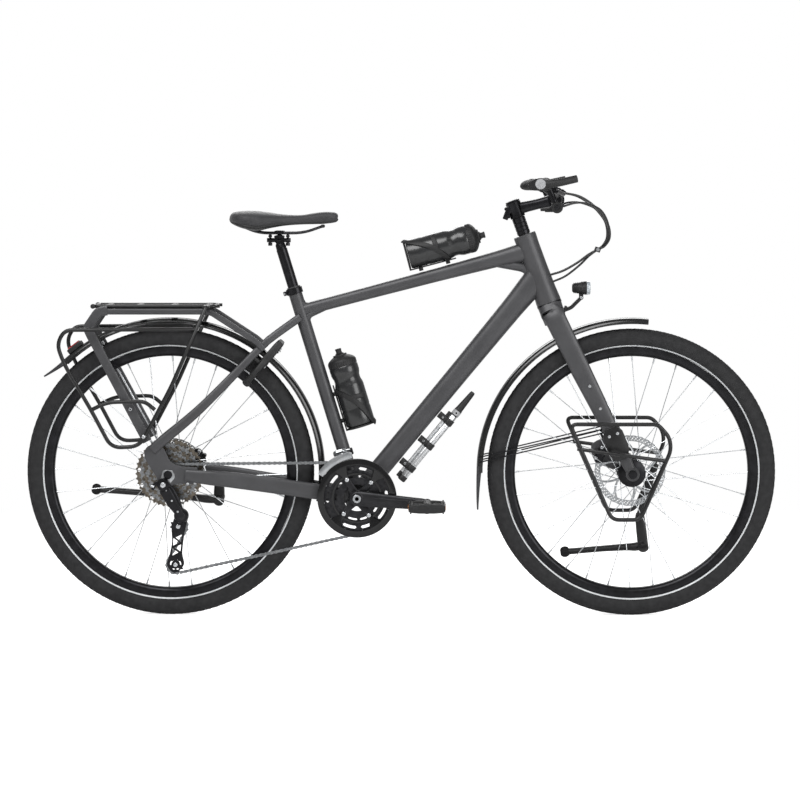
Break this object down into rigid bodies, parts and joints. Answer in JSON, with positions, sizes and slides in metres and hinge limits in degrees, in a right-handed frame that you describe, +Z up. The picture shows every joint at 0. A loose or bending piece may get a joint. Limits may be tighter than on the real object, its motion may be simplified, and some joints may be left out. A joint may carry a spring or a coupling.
{
  "type": "touring bicycle",
  "caption": "Touring bicycle with mudguards, racks over both wheels, disc brakes, folding legs, drinking bottles, a pump, a frame lock and bar horns.",
  "frame": {"origin": "on the ground, halfway between the two axles, in the plane that the wheels run in", "axes": "+X forward, +Y to the rider's left, +Z up"},
  "size_m": [1.878, 0.604, 1.1036],
  "materials": {
    "frame_paint": "satin anthracite",
    "black_metal": "black anodised, satin",
    "hub_metal": "black hub with bright spokes",
    "steel": "brushed",
    "dark_steel": "bronze grey",
    "tyre": "matt charcoal with a pale reflective stripe",
    "rubber": "matt",
    "black_plastic": "matt black",
    "bottle_plastic": "dark smoked plastic",
    "saddle_cover": "black, finely grained"
  },
  "bodies": {
    "frame": {"main_frame": "frame_paint", "bottom_bracket": "black_metal", "rear_axle": "steel", "rear_rack": "black_metal", "rear_mudguard": "black_plastic", "rear_caliper": "black_metal", "derailleur_body": "black_metal", "front_derailleur": "steel", "chain": "steel", "seat_tube_bottle_cage": "black_plastic", "top_tube_bottle_cage": "black_plastic", "pump_barrel": "steel", "frame_lock": "black_plastic", "rear_stand_bracket": "black_metal"},
    "steering_unit": {"fork": "frame_paint", "front_axle": "steel", "front_caliper": "black_metal", "stem": "black_metal", "handlebar": "black_metal", "grip_right": "rubber", "grip_left": "rubber", "brake_mount_right": "black_metal", "brake_mount_left": "black_metal", "front_mudguard": "black_plastic", "headlight_bracket": "black_metal", "lowrider_right": "black_metal", "lowrider_left": "black_metal", "control_cables": "rubber"},
    "front_wheel": {"front_tyre": "tyre", "front_rim": "black_metal", "front_hub": "hub_metal", "front_rotor": "steel"},
    "rear_wheel": {"rear_tyre": "tyre", "rear_rim": "black_metal", "rear_hub": "hub_metal", "rear_rotor": "steel"},
    "sprockets": {"cassette": "dark_steel"},
    "crankset": {"crank_right": "black_metal", "crank_left": "black_metal", "chainrings": "dark_steel"},
    "right_pedal": {"pedal_right": "black_plastic"},
    "left_pedal": {"pedal_left": "black_plastic"},
    "derailleur_arm": {"derailleur_cage": "black_metal", "chain_cage_run": "steel"},
    "upper_pulley": {"guide_pulley": "black_plastic"},
    "lower_pulley": {"tension_pulley": "black_plastic"},
    "seat": {"seatpost": "black_metal", "saddle": "saddle_cover", "saddle_rails": "steel"},
    "front_lamp": {"headlight": "black_plastic"},
    "right_brake_lever": {"brake_lever_right": "black_metal"},
    "left_brake_lever": {"brake_lever_left": "black_metal"},
    "right_shift_trigger": {"shift_trigger_right": "black_plastic"},
    "left_shift_trigger": {"shift_trigger_left": "black_plastic"},
    "front_stand": {"front_stand_leg": "black_metal"},
    "rear_stand": {"rear_stand_leg": "black_metal"},
    "lower_bottle": {"seat_tube_bottle": "bottle_plastic"},
    "upper_bottle": {"top_tube_bottle": "bottle_plastic"},
    "pump_plunger": {"pump_handle": "black_plastic"},
    "shackle": {"lock_shackle": "steel"}
  },
  "joints": [
    {"name": "steering", "type": "hinge", "parent": "frame", "child": "steering_unit", "pos_m": [0.37266, 0, 0.77898], "axis": [-0.342, 0, 0.9397], "range_deg": [-60, 60]},
    {"name": "front_wheel_spin", "type": "hinge", "parent": "steering_unit", "child": "front_wheel", "pos_m": [0.578, 0, 0.361], "axis": [0, 1, 0], "continuous": true},
    {"name": "rear_wheel_spin", "type": "hinge", "parent": "frame", "child": "rear_wheel", "pos_m": [-0.578, 0, 0.361], "axis": [0, 1, 0], "continuous": true},
    {"name": "crank_spin", "type": "hinge", "parent": "frame", "child": "crankset", "pos_m": [-0.1085, 0, 0.301], "axis": [0, 1, 0], "continuous": true},
    {"name": "cassette_spin", "type": "hinge", "parent": "frame", "child": "sprockets", "pos_m": [-0.578, 0, 0.361], "axis": [0, 1, 0], "continuous": true},
    {"name": "pedal_right_spin", "type": "hinge", "parent": "crankset", "child": "right_pedal", "pos_m": [0.06601, -0.136, 0.28788], "axis": [0, 1, 0], "continuous": true},
    {"name": "pedal_left_spin", "type": "hinge", "parent": "crankset", "child": "left_pedal", "pos_m": [-0.28301, 0.136, 0.31412], "axis": [0, 1, 0], "continuous": true},
    {"name": "derailleur_swing", "type": "hinge", "parent": "frame", "child": "derailleur_arm", "pos_m": [-0.54587, -0.06, 0.25811], "axis": [0, 1, 0], "range_deg": [0, 20], "stiffness_Nm_per_rad": 1.5},
    {"name": "guide_pulley_spin", "type": "hinge", "parent": "derailleur_arm", "child": "upper_pulley", "pos_m": [-0.5549, -0.06, 0.22996], "axis": [0, 1, 0], "continuous": true},
    {"name": "tension_pulley_spin", "type": "hinge", "parent": "derailleur_arm", "child": "lower_pulley", "pos_m": [-0.56212, -0.06, 0.13393], "axis": [0, 1, 0], "continuous": true},
    {"name": "seatpost_height", "type": "slide", "parent": "frame", "child": "seat", "axis": [-0.2924, 0, 0.9563], "range_m": [-0.1, 0.06]},
    {"name": "headlight_tilt", "type": "hinge", "parent": "steering_unit", "child": "front_lamp", "pos_m": [0.45066, 0, 0.79898], "axis": [0, 1, 0], "range_deg": [-15, 15]},
    {"name": "brake_lever_right_squeeze", "type": "hinge", "parent": "steering_unit", "child": "right_brake_lever", "pos_m": [0.39448, -0.138, 1.05999], "axis": [-0.4472, 0, -0.8944], "range_deg": [0, 8], "stiffness_Nm_per_rad": 1.5},
    {"name": "brake_lever_left_squeeze", "type": "hinge", "parent": "steering_unit", "child": "left_brake_lever", "pos_m": [0.39448, 0.138, 1.05999], "axis": [0.4472, 0, 0.8944], "range_deg": [0, 8], "stiffness_Nm_per_rad": 1.5},
    {"name": "shift_trigger_right_push", "type": "hinge", "parent": "steering_unit", "child": "right_shift_trigger", "pos_m": [0.38248, -0.138, 1.02499], "axis": [0, 1, 0], "range_deg": [0, 20], "stiffness_Nm_per_rad": 0.3},
    {"name": "shift_trigger_left_push", "type": "hinge", "parent": "steering_unit", "child": "left_shift_trigger", "pos_m": [0.38248, 0.138, 1.02499], "axis": [0, 1, 0], "range_deg": [0, 20], "stiffness_Nm_per_rad": 0.3},
    {"name": "front_stand_fold", "type": "hinge", "parent": "steering_unit", "child": "front_stand", "pos_m": [0.61699, 0.105, 0.16317], "axis": [0.0455, -0.8524, -0.521], "range_deg": [0, 105]},
    {"name": "rear_stand_fold", "type": "hinge", "parent": "frame", "child": "rear_stand", "pos_m": [-0.46212, 0.07, 0.28483], "axis": [-0.036, -0.8834, -0.4672], "range_deg": [0, 100]},
    {"name": "seat_tube_bottle_slide", "type": "slide", "parent": "frame", "child": "lower_bottle", "axis": [-0.2924, 0, 0.9563], "range_m": [0, 0.09]},
    {"name": "top_tube_bottle_slide", "type": "slide", "parent": "frame", "child": "upper_bottle", "axis": [0.967, 0, 0.2548], "range_m": [0, 0.05]},
    {"name": "pump_handle_slide", "type": "slide", "parent": "frame", "child": "pump_plunger", "axis": [0.6343, 0, 0.7731], "range_m": [0, 0.09]},
    {"name": "lock_shackle_turn", "type": "hinge", "parent": "frame", "child": "shackle", "pos_m": [-0.35914, 0, 0.61726], "axis": [-0.7604, 0, 0.6494], "range_deg": [0, 84]}
  ],
  "couplings": [
    {"joint": "cassette_spin", "follows": "crank_spin", "ratio": 3.6667},
    {"joint": "guide_pulley_spin", "follows": "crank_spin", "ratio": -4},
    {"joint": "tension_pulley_spin", "follows": "crank_spin", "ratio": 4}
  ]
}
